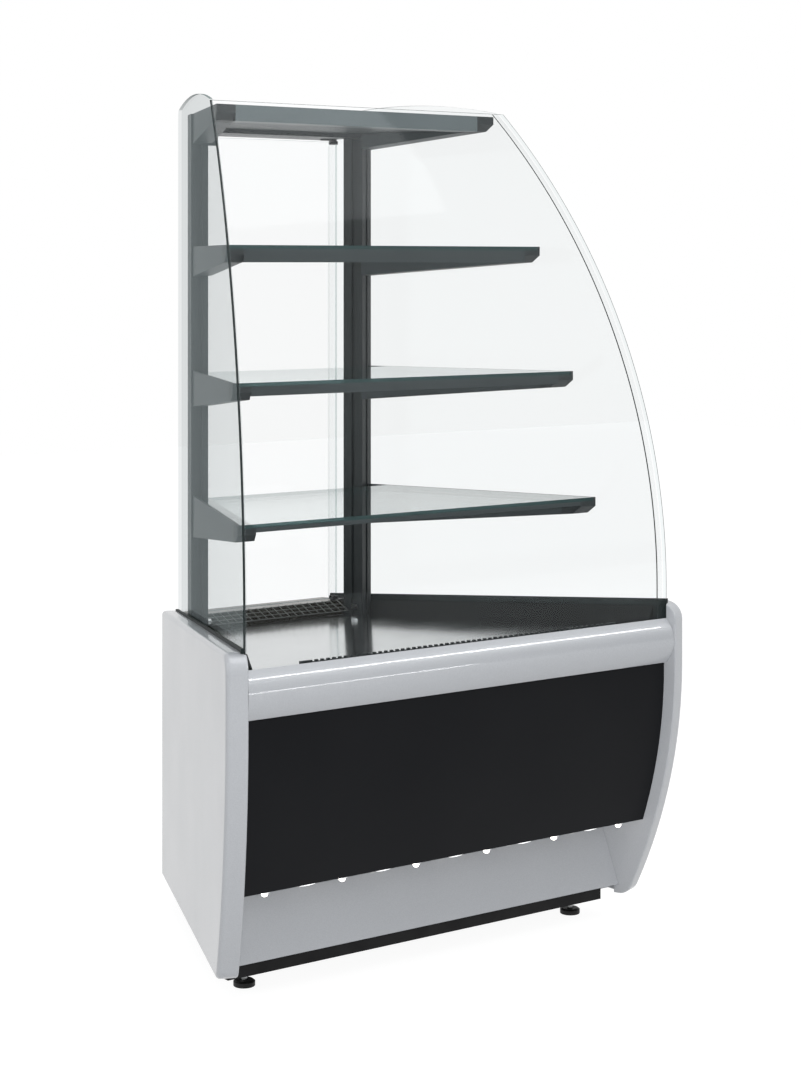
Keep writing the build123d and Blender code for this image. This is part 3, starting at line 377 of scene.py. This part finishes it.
def glass_finish(name, thin_way, tint, haze, edge_clear, edge_dark, edge_share, head_on=0.04, curve=5.0):
    """Clear panes with deeper edges. thin_way is the direction square to the pane: a face is an
    edge where its normal has little of that direction. The mirror's share is the head-on share
    plus what is left of it times the glancing view to the power of the curve, the same from
    either side of a face. An edge is dark by its own share, and darker at a glance."""
    finish = bpy.data.materials.new(name)
    finish.use_nodes = True
    nodes, links = finish.node_tree.nodes, finish.node_tree.links
    nodes.remove(nodes["Principled BSDF"])
    glance = nodes.new("ShaderNodeLayerWeight")
    glance.inputs["Blend"].default_value = 0.5

    def rising(low, power):
        """A share that rises from low to one as the view turns to a glance."""
        steep = nodes.new("ShaderNodeMath")
        steep.operation = "POWER"
        steep.inputs[1].default_value = power
        links.new(glance.outputs["Facing"], steep.inputs[0])
        share = nodes.new("ShaderNodeMath")
        share.operation = "MULTIPLY_ADD"
        share.inputs[1].default_value = 1 - low
        share.inputs[2].default_value = low
        links.new(steep.outputs["Value"], share.inputs[0])
        return share.outputs["Value"]

    def mixed(share, first, second):
        """Two shaders mixed by a share."""
        mix = nodes.new("ShaderNodeMixShader")
        links.new(share, mix.inputs["Fac"])
        links.new(first, mix.inputs[1])
        links.new(second, mix.inputs[2])
        return mix.outputs["Shader"]

    clear = nodes.new("ShaderNodeBsdfTransparent")
    clear.inputs["Color"].default_value = (*tint, 1)
    mirror = nodes.new("ShaderNodeBsdfGlossy")
    mirror.inputs["Color"].default_value = (*haze, 1)
    mirror.inputs["Roughness"].default_value = MIRROR_ROUGHNESS
    face = mixed(rising(head_on, curve), clear.outputs["BSDF"], mirror.outputs["BSDF"])
    through = nodes.new("ShaderNodeBsdfTransparent")
    through.inputs["Color"].default_value = (*edge_clear, 1)
    ground = nodes.new("ShaderNodeBsdfDiffuse")
    ground.inputs["Color"].default_value = (*edge_dark, 1)
    edge = mixed(rising(edge_share, EDGE_CURVE), through.outputs["BSDF"], ground.outputs["BSDF"])

    where = nodes.new("ShaderNodeTexCoord")
    along_thin = nodes.new("ShaderNodeVectorMath")
    along_thin.operation = "DOT_PRODUCT"
    along_thin.inputs[1].default_value = thin_way
    links.new(where.outputs["Normal"], along_thin.inputs[0])
    size = nodes.new("ShaderNodeMath")
    size.operation = "ABSOLUTE"
    links.new(along_thin.outputs["Value"], size.inputs[0])
    is_edge = nodes.new("ShaderNodeMath")
    is_edge.operation = "LESS_THAN"
    is_edge.inputs[1].default_value = EDGE_LIMIT
    links.new(size.outputs["Value"], is_edge.inputs[0])
    whole = mixed(is_edge.outputs["Value"], face, edge)
    links.new(whole, nodes["Material Output"].inputs["Surface"])
    return finish


SIDE_NAMES = {1: "right", -1: "left"}
outward = {side: (side * cos(SIDE_ANGLE), sin(SIDE_ANGLE), 0) for side in SIDE_NAMES}
side_glass = {
    side: glass_finish(
        f"side_glass_{label}", outward[side], tint=(0.970, 0.976, 0.976), haze=(0.33, 0.375, 0.385),
        edge_clear=(0.985, 0.99, 0.99), edge_dark=(0.10, 0.16, 0.16), edge_share=0.02,
        head_on=0.02, curve=10.3,
    )
    for side, label in SIDE_NAMES.items()
}
front_glass = glass_finish(
    "front_pane_glass", (0, 1, 0), tint=(0.996, 0.998, 0.998), haze=(0.50, 0.53, 0.54),
    edge_clear=(0.95, 0.98, 0.98), edge_dark=(0.03, 0.06, 0.06), edge_share=0.05, head_on=0.02,
)
shelf_glass = glass_finish(
    "shelf_pane_glass", (0, 0, 1), tint=(0.975, 0.985, 0.985), haze=(0.92, 0.94, 0.94),
    edge_clear=(0.25, 0.40, 0.40), edge_dark=(0.06, 0.10, 0.10), edge_share=0.75, head_on=0.06, curve=4.0,
)
door_glass = glass_finish(
    "door_pane_glass", (0, 1, 0), tint=(0.996, 0.998, 0.998), haze=(0.45, 0.50, 0.51),
    edge_clear=(0.88, 0.93, 0.93), edge_dark=(0.20, 0.28, 0.28), edge_share=0.15, head_on=0.02,
)
print("glass:", front_glass.name, shelf_glass.name)

# %% [markdown]
# Lit spots
#
# Six small lamps shine down at the front panel's lower edge. In a still picture a lit lens is
# simply white, so it gets a warm white glow on its own. The slim strips between the lamps glow
# more weakly: they are no lamps but painted glints, where the lamps' light catches the lower lip.

# %% Glowing finishes


def add_glow(finish, colour, strength):
    """Light of its own for a finish."""
    shader = finish.node_tree.nodes["Principled BSDF"]
    shader.inputs["Emission Color"].default_value = (*colour, 1)
    shader.inputs["Emission Strength"].default_value = strength


lens_glow = new_finish("lens_glow", (1.0, 0.97, 0.93), 0.2)
cloud_colour(lens_glow, noise(lens_glow, 400.0), (0.98, 0.95, 0.9), (1.0, 0.98, 0.95))
add_glow(lens_glow, (1.0, 0.95, 0.88), 6.0)

# Painted glint: a weak glow for the lip strips between the spots, standing for the spots' light on the lip
painted_glint_glow = new_finish("painted_glint_glow", (0.9, 0.9, 0.9), 0.3)
cloud_colour(painted_glint_glow, noise(painted_glint_glow, 400.0), (0.88, 0.88, 0.88), (0.92, 0.92, 0.92))
add_glow(painted_glint_glow, (1.0, 1.0, 1.0), 0.9)
print("glowing finishes:", lens_glow.name, painted_glint_glow.name)

# %% [markdown]
# Dressing the frame
#
# Each CAD part keeps its shape and only takes a finish on its own material slots.

# %% Finishes onto the CAD parts
dress = {
    silver_paint: ["side_panel_left", "side_panel_right", "bumper", "kick_plate"],
    black_panel_paint: ["front_panel"],
    plinth_paint: ["plinth_tube_front", "plinth_tube_left", "plinth_tube_right", "plinth_tube_rear"],
    foot_plastic: [n for n in parts if n.startswith("foot_pad")],
    zinc_plate: [n for n in parts if n.startswith("foot_stem")] + ["foot_lock_nuts"],
    # on the base floor this dark paint is also painted shade of the hollow under the grille
    service_paint_and_cavity_shade: ["base_floor", "rear_panel"],
    deck_metal: ["deck_plate"],
    sill_metal: ["rear_sill"],
    frame_coat: ["post_left", "post_right", "glass_channel", "canopy_back_rail"],
    riser_coat: ["riser_left", "riser_right"],
    arm_coat: [
        "canopy_arm_left", "canopy_arm_right", "canopy_ceiling", "canopy_roof",
        "shelf_arms_top", "shelf_arms_middle", "shelf_arms_lower", "shelf_front_rails",
    ],
    canopy_coat: ["canopy_front_beam"],
    cap_plastic: ["arm_end_caps", "rear_door_catch", "deck_slot_strip"],
    side_glass[1]: ["side_glass_right"],
    side_glass[-1]: ["side_glass_left"],
    front_glass: ["front_glass"],
    shelf_glass: ["shelf_glass_top", "shelf_glass_middle", "shelf_glass_lower"],
    door_glass: ["rear_door_glass"],
    seal_rubber: ["corner_seals"],
    wire_metal: ["rear_grille"],
    chrome: ["post_cleats", "rear_door_handle", "spot_housings"],
    pivot_black: ["rear_door_patches", "rear_door_pivots"],
    lens_glow: ["spot_lenses"],
    box_plastic: ["light_driver", "mains_inlet", "switch_bezel", "switch_rocker"],
}
for finish, names in dress.items():
    for name in names:
        for slot in parts[name].material_slots:
            slot.material = finish
bare = sorted(set(parts) - {name for names in dress.values() for name in names})
print("parts without a finish:", bare)

# %% [markdown]
# Rear grille
#
# Behind the deck lies a mesh of plated wire. The solid stands for it as a plate with holes. The
# real one is two layers of crossing wires, so it is made of rods and takes the plate's place.

# %% Wire mesh
GRILLE_TILT = radians(21)
GRILLE_REAR = 0.038
GRILLE_HALF_WIDTH = 0.147
GRILLE_HEIGHT = 0.499
GRILLE_GAP = 0.0005
WIRE_PITCH = 0.016
WIRE_RADIUS = 0.0008
WIRES_PER_HALF = 9
LONG_WIRES = 4
LAYER_DROP = 2.6


def on_grille(x, run):
    """Point on the sloping mesh: x across it, and run up it from the deck's rear edge."""
    x, run = np.broadcast_arrays(np.asarray(x, float), np.asarray(run, float))
    y = ahead(-GRILLE_GAP) + run * cos(GRILLE_TILT)
    return np.stack([x, y, GRILLE_HEIGHT + run * sin(GRILLE_TILT)], axis=-1)


def joined(pieces):
    """Several point sets as one, each set's faces counted on from the last."""
    counts = np.cumsum([0] + [points.size // 3 for points, _ in pieces[:-1]]).tolist()
    points = np.concatenate([points.reshape(-1, 3) for points, _ in pieces])
    faces = [[corner + start for corner in face] for start, (_, some) in zip(counts, pieces) for face in some]
    return points, faces


grille_run = GRILLE_REAR / cos(GRILLE_TILT) - 2 * GRILLE_GAP
cross_x = np.arange(-WIRES_PER_HALF, WIRES_PER_HALF + 1) * WIRE_PITCH
long_run = np.linspace(WIRE_RADIUS, grille_run - WIRE_RADIUS, LONG_WIRES)
lift = np.array([0, -sin(GRILLE_TILT), cos(GRILLE_TILT)]) * WIRE_RADIUS
drop = lift * LAYER_DROP
cross_wires = rods(on_grille(cross_x, 0.0) - lift, on_grille(cross_x, grille_run) - lift, WIRE_RADIUS)
long_left = on_grille(-GRILLE_HALF_WIDTH, long_run) - drop
long_right = on_grille(GRILLE_HALF_WIDTH, long_run) - drop
long_wires = rods(long_left, long_right, WIRE_RADIUS)
mesh_wires = add_part("rear_wire_mesh", *joined([cross_wires, long_wires]), wire_metal, smooth=radians(50))
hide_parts("rear_grille")

# %% [markdown]
# Glass joints
#
# The bent pane is bonded to the two flat ones by a thin dark strip that follows the bend. On the
# left the strip lies in the joint, across the side pane's thickness. On the right it stands
# further back, where its dark line is seen. A bead as fine as a hair stands for the ground corner
# of the glass.

# %% Joint strips and ground corners
BEND_HEIGHT = 0.580
BEND_RADIUS = 1.298
GLASS_BOTTOM = 0.490
GLASS_TOP = 1.405
STRIP_WIDTH = {1: 0.0020, -1: 0.0035}
STRIP_THICK = 0.0012
STRIP_DEPTH = {1: 0.0116, -1: PANE}
STRIP_OUT = {1: -0.0061, -1: -0.0038}
CORNER_RADIUS = 0.00035
CORNER_SIDES = 6


def pane_line(depth, out, side, count=60):
    """Points up the corner of the glass, at a depth behind the bent pane's face and a distance
    out from the side pane's face. The bend is a circle that starts above the upright foot: its
    setback is the radius less the root of the radius squared less the rise squared."""
    height = np.concatenate([[GLASS_BOTTOM], np.linspace(BEND_HEIGHT, GLASS_TOP, count)])
    rise = np.maximum(height - BEND_HEIGHT, 0)
    distance = GLASS_AHEAD - BEND_RADIUS + np.sqrt((BEND_RADIUS - depth) ** 2 - rise**2)
    reach = (distance + out * sin(SIDE_ANGLE)) / cos(SIDE_ANGLE)
    x, y = along(reach, out, side)
    return np.stack([x, y, height], axis=-1)


corner_turn = np.linspace(0, 2 * np.pi, CORNER_SIDES, endpoint=False)
corner_profile = CORNER_RADIUS * np.stack([np.cos(corner_turn), np.sin(corner_turn)], axis=-1)
strips, corners = [], []
for side in SIDE_NAMES:
    backward = (-side * sin(SIDE_ANGLE), cos(SIDE_ANGLE), 0)
    width = STRIP_WIDTH[side]
    strip_profile = [(0, 0), (width, 0), (width, STRIP_THICK), (0, STRIP_THICK)]
    strip_line = pane_line(STRIP_DEPTH[side], STRIP_OUT[side], side)
    strips.append(swept(strip_profile, strip_line, outward[side], backward))
    corner_line = pane_line(CORNER_RADIUS, -CORNER_RADIUS, side)
    corners.append(swept(corner_profile, corner_line, outward[side], backward))
glass_joints = add_part("glass_joint_strips", *joined(strips), seal_rubber)
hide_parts("corner_seals")
ground_corners = add_part("ground_glass_corners", *joined(corners), frame_coat, smooth=radians(70))

# %% [markdown]
# Side gaskets
#
# A black gasket closes the gap where a side pane sinks behind its silver panel. Its thin leg
# stands between the glass and the panel, and its lip lies on the panel's inner top edge, so a
# fine dark line runs along each panel.

# %% Side gaskets
GASKET_BACK = -0.0965
GASKET_FRONT = 0.5955
GASKET_INSIDE = 0.0001
GASKET_LEG = 0.0004
GASKET_LIP = 0.0049
LEAST_LIP = 0.001
LIP_HEIGHT = 0.52297
LIP_SLOPE = 0.0615
PANEL_TOP = 0.5145
PANEL_TOP_REACH = -0.097
PANEL_TOP_SLOPE = 0.0574
PANEL_CORNER = 0.030
PANEL_CORNER_REACH = 0.584


def gasket(side, count=40):
    """An L-shaped strip beside the pane: each station is a ring of six points from the leg's
    foot to the lip's top."""
    reach = np.linspace(GASKET_BACK, GASKET_FRONT, count)
    past = np.maximum(reach - PANEL_CORNER_REACH, 0)
    fall = PANEL_CORNER - np.sqrt(PANEL_CORNER**2 - past**2)
    seat = PANEL_TOP + PANEL_TOP_SLOPE * (reach - PANEL_TOP_REACH) - fall
    crown = np.maximum(LIP_HEIGHT + LIP_SLOPE * reach, seat + LEAST_LIP)
    foot = np.full_like(reach, GLASS_BOTTOM)
    outs = [GASKET_INSIDE, GASKET_LEG, GASKET_LEG, GASKET_LIP, GASKET_LIP, GASKET_INSIDE]
    heights = [foot, foot, seat, seat, crown, crown]
    rings = [np.stack([*along(reach, out, side), height], axis=-1) for out, height in zip(outs, heights)]
    return np.stack(rings, axis=1), tube_faces(count, len(outs))


side_gaskets = add_part("side_gaskets", *joined([gasket(side) for side in SIDE_NAMES]), seal_rubber)

# %% [markdown]
# Painted glints on the lip
#
# Halfway between the spots a slim glowing strip shows at the front panel's lower lip. It is no
# lamp but a painted glint, where the spots' light catches the lip. Its lower edge is a shallow
# arch, so that it shows as a sliver of light.

# %% Painted glints between the spots
SPOT_PITCH = 0.1447
SLIVER_HALF = 0.014
SLIVER_HEIGHT = 0.0016
SLIVER_STEPS = 9
SLIVER_TOP = 0.0001
SLIVER_FRONT = 0.0003
SLIVER_BACK = 0.0008
SLIVER_END_SHARE = 0.3
ARCH_ANGLE = radians(88)
LIP_AHEAD = 0.549
LIP_RADIUS = 0.970
LIP_HALF_WIDTH = 0.265
sliver_across = np.linspace(-SLIVER_HALF, SLIVER_HALF, SLIVER_STEPS)
arch = np.cos(sliver_across / SLIVER_HALF * ARCH_ANGLE)
sliver_foot = SLIVER_HEIGHT * (SLIVER_END_SHARE + (1 - SLIVER_END_SHARE) * arch)
sliver_head = np.full(SLIVER_STEPS, SLIVER_TOP)
lip_y = ahead(LIP_AHEAD) + LIP_RADIUS - sqrt(LIP_RADIUS**2 - LIP_HALF_WIDTH**2)
sliver_corners = [
    (SLIVER_FRONT, sliver_head),
    (SLIVER_FRONT, sliver_foot),
    (SLIVER_BACK, sliver_foot),
    (SLIVER_BACK, sliver_head),
]
sliver_lines = [
    np.stack([sliver_across, np.full(SLIVER_STEPS, lip_y + depth), LIP_BOTTOM - below], axis=-1)
    for depth, below in sliver_corners
]
sliver = np.stack(sliver_lines, axis=1)
between_spots = [(k * SPOT_PITCH, 0, 0) for k in range(-2, 3)]
sliver_faces = tube_faces(SLIVER_STEPS, len(sliver_corners))
# Glowing strips between the spots: painted glints of the spots' light on the lip, not lamps
lip_glint_slivers = add_part("painted_lip_glints", *many(sliver, sliver_faces, between_spots), painted_glint_glow)

# %% [markdown]
# Studio
#
# The floor is a plain pale sheet and the room is white. Where the camera, a mirror or glass
# looks at them they show plain white; for everything else they are soft light.

# %% Floor and room
FLOOR_HALF = 9.0
room = bpy.data.worlds.new("studio_room")
bpy.context.scene.world = room
room.use_nodes = True
room_nodes, room_links = room.node_tree.nodes, room.node_tree.links
soft_light = room_nodes["Background"]
soft_light.inputs["Color"].default_value = (0.96, 0.98, 1.0, 1)
soft_light.inputs["Strength"].default_value = 0.55
plain_white = room_nodes.new("ShaderNodeBackground")
plain_white.inputs["Color"].default_value = (1, 1, 1, 1)
plain_white.inputs["Strength"].default_value = 1.0


def seen_directly(nodes, links):
    """One where the camera, a mirror or glass looks, and zero where light spreads."""
    path = nodes.new("ShaderNodeLightPath")
    first = nodes.new("ShaderNodeMath")
    first.operation = "MAXIMUM"
    links.new(path.outputs["Is Camera Ray"], first.inputs[0])
    links.new(path.outputs["Is Glossy Ray"], first.inputs[1])
    second = nodes.new("ShaderNodeMath")
    second.operation = "MAXIMUM"
    links.new(first.outputs["Value"], second.inputs[0])
    links.new(path.outputs["Is Transmission Ray"], second.inputs[1])
    return second.outputs["Value"]


room_mix = room_nodes.new("ShaderNodeMixShader")
room_links.new(seen_directly(room_nodes, room_links), room_mix.inputs["Fac"])
room_links.new(soft_light.outputs["Background"], room_mix.inputs[1])
room_links.new(plain_white.outputs["Background"], room_mix.inputs[2])
room_links.new(room_mix.outputs["Shader"], room_nodes["World Output"].inputs["Surface"])

floor_finish = bpy.data.materials.new("white_floor")
floor_finish.use_nodes = True
floor_nodes, floor_links = floor_finish.node_tree.nodes, floor_finish.node_tree.links
floor_nodes.remove(floor_nodes["Principled BSDF"])
matt_white = floor_nodes.new("ShaderNodeBsdfDiffuse")
matt_white.inputs["Color"].default_value = (0.50, 0.50, 0.50, 1)
shadow_keeper = floor_nodes.new("ShaderNodeBsdfDiffuse")
shadow_keeper.inputs["Color"].default_value = (0.22, 0.22, 0.22, 1)


def floor_glow(strength):
    """Plain white light of one strength."""
    glow = floor_nodes.new("ShaderNodeEmission")
    glow.inputs["Strength"].default_value = strength
    return glow.outputs["Emission"]


def floor_mix(share, first, second):
    """Two shaders mixed by a share."""
    mix = floor_nodes.new("ShaderNodeMixShader")
    floor_links.new(share, mix.inputs["Fac"])
    floor_links.new(first, mix.inputs[1])
    floor_links.new(second, mix.inputs[2])
    return mix.outputs["Shader"]


white_with_shadow = floor_nodes.new("ShaderNodeAddShader")
floor_links.new(floor_glow(0.92), white_with_shadow.inputs[0])
floor_links.new(shadow_keeper.outputs["BSDF"], white_with_shadow.inputs[1])
floor_path = floor_nodes.new("ShaderNodeLightPath")
seen_or_lit = floor_mix(seen_directly(floor_nodes, floor_links), matt_white.outputs["BSDF"], floor_glow(1.0))
floor_seen = floor_mix(floor_path.outputs["Is Camera Ray"], seen_or_lit, white_with_shadow.outputs["Shader"])
floor_links.new(floor_seen, floor_nodes["Material Output"].inputs["Surface"])

floor_mesh = bpy.data.meshes.new("studio_floor")
floor_corners = [(x * FLOOR_HALF, y * FLOOR_HALF, 0) for x, y in ((-1, -1), (1, -1), (1, 1), (-1, 1))]
floor_mesh.from_pydata(floor_corners, [], [(0, 1, 2, 3)])
floor_mesh.materials.append(floor_finish)
studio_floor = bpy.data.objects.new("studio_floor", floor_mesh)
bpy.context.scene.collection.objects.link(studio_floor)
print("floor and room ready")

# %% [markdown]
# Lamps
#
# Large soft lamps give the base its shape: one overhead, a weak one on the left, and one low in
# front that lifts the kick plate. The front one shows in no reflection.

# %% Softboxes


def softbox(name, place, target, width, height, watts):
    """A rectangular lamp at a place, turned to a target. It isn't seen by the camera itself."""
    lamp = bpy.data.lights.new(name, "AREA")
    lamp.shape = "RECTANGLE"
    lamp.size = width
    lamp.size_y = height
    lamp.energy = watts
    holder = bpy.data.objects.new(name, lamp)
    holder.location = place
    holder.rotation_euler = (Vector(target) - Vector(place)).to_track_quat("-Z", "Y").to_euler()
    holder.visible_camera = False
    bpy.context.scene.collection.objects.link(holder)
    return holder


softbox("overhead", (0.2, -0.6, 3.4), (0, 0, 0.6), 2.6, 2.2, 28)
softbox("left_fill", (-3.4, 0.6, 1.6), (0, 0, 0.7), 1.8, 2.2, 8)
front_fill = softbox("front_fill", (-1.8, -4.0, 0.9), (0, 0, 0.3), 2.4, 1.2, 72)
front_fill.visible_glossy = False

# %% [markdown]
# Two bright lines on the bumper
#
# A round bumper shows a long lamp as one thin line. The two lamps that draw these lines would
# also show in the glass, so they light the silver parts alone, and only as a reflection.

# %% Line lamps
BUMPER_FACE = -0.33
BUMPER_HEIGHT = 0.5
LINE_DISTANCE = 3.0
silver_parts = bpy.data.collections.new("silver_parts")
for name in ("bumper", "side_panel_left", "side_panel_right"):
    silver_parts.objects.link(parts[name])


def line_lamp(name, elevation, left, right, thickness, watts):
    """A long lamp square to a line of sight that leaves the bumper forward and up by an angle."""
    middle = (left + right) / 2
    lamp_y = BUMPER_FACE - LINE_DISTANCE * cos(elevation)
    place = (middle, lamp_y, BUMPER_HEIGHT + LINE_DISTANCE * sin(elevation))
    lamp = softbox(name, place, (middle, BUMPER_FACE, BUMPER_HEIGHT), right - left, thickness, watts)
    lamp.visible_diffuse = False
    lamp.light_linking.receiver_collection = silver_parts


line_lamp("upper_line", radians(36.6), 1.30, 3.12, 0.18, 22)
line_lamp("lower_line", radians(-3.3), 1.30, 2.30, 0.10, 5)

# %% [markdown]
# Dark cards
#
# Shiny things need something dark to mirror, or they look flat. A card in front of the case is
# dark at the floor and fades to white overhead, and a low one behind it on the right darkens the
# far side of the deck. Only reflections see them.

# %% Cards that only reflections see


def card(name, corners, way, dark, start, end):
    """A glowing card that fades from dark to white along one direction, from start to end. Its
    corners are those of an upright sheet: left, right, bottom, top, and the y where it stands."""
    left, right, bottom, top, y = corners
    finish = bpy.data.materials.new(name)
    finish.use_nodes = True
    nodes, links = finish.node_tree.nodes, finish.node_tree.links
    nodes.remove(nodes["Principled BSDF"])
    where = nodes.new("ShaderNodeTexCoord")
    place = nodes.new("ShaderNodeVectorMath")
    place.operation = "DOT_PRODUCT"
    place.inputs[1].default_value = way
    links.new(where.outputs["Object"], place.inputs[0])
    fade = nodes.new("ShaderNodeMapRange")
    fade.interpolation_type = "SMOOTHSTEP"
    fade.inputs["From Min"].default_value = start
    fade.inputs["From Max"].default_value = end
    fade.inputs["To Min"].default_value = dark
    fade.inputs["To Max"].default_value = 1.0
    links.new(place.outputs["Value"], fade.inputs["Value"])
    glow = nodes.new("ShaderNodeEmission")
    links.new(fade.outputs["Result"], glow.inputs["Strength"])
    links.new(glow.outputs["Emission"], nodes["Material Output"].inputs["Surface"])
    mesh = bpy.data.meshes.new(name)
    outline = [(left, y, bottom), (right, y, bottom), (right, y, top), (left, y, top)]
    mesh.from_pydata(outline, [], [(0, 1, 2, 3)])
    mesh.materials.append(finish)
    sheet = bpy.data.objects.new(name, mesh)
    bpy.context.scene.collection.objects.link(sheet)
    sheet.visible_camera = False
    sheet.visible_diffuse = False
    sheet.visible_transmission = False
    sheet.visible_shadow = False


card("front_card", (-7, 9, 0.01, 7, -6), way=(0, 0, 1), dark=0.12, start=0.0, end=5.0)
card("rear_card", (1.6, 7, 0.01, 0.98, 3.2), way=(-1, 0, 0), dark=0.30, start=-4.2, end=-1.9)

# %% [markdown]
# Paths through glass
#
# A line of sight here can cross a dozen faces of glass, and stops as black if the renderer may
# not count that far.

# %% Let sight lines cross every pane
MOST_LAYERS = 32
bpy.context.scene.cycles.transparent_max_bounces = MOST_LAYERS
print("layers a line of sight may cross:", MOST_LAYERS)
